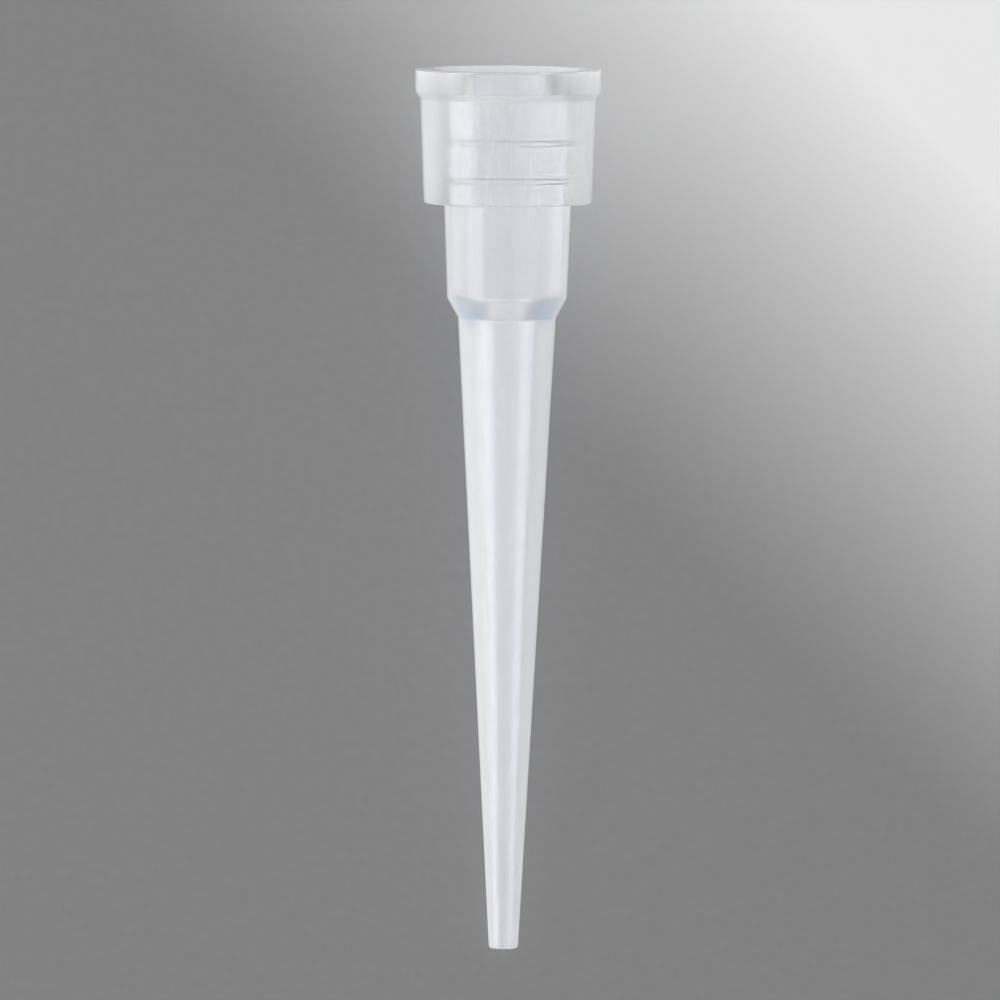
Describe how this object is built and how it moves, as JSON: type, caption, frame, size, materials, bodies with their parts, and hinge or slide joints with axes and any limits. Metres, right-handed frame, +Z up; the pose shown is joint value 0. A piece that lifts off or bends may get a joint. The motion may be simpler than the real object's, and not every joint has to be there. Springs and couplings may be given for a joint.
{
  "type": "pipette tip",
  "caption": "Short fine pipette tip: a rimmed collar with a ribbed socket, a thin neck and a long hollow cone, for a small-volume pipette.",
  "frame": {"origin": "on the ground, under the middle of the lying tip's length and in the vertical plane of its axis", "axes": "+Y along the tip towards its mouth, +Z up from the ground, +X across the tip. The tip's own axis rises towards the mouth by the angle at which the tip lies, about 5.3 degrees."},
  "size_m": [0.0066, 0.0318, 0.0067],
  "materials": {
    "tip_plastic": "milky, see-through natural polypropylene with a smooth moulded gloss"
  },
  "bodies": {
    "root": {"pipette_tip": "tip_plastic"}
  },
  "joints": []
}
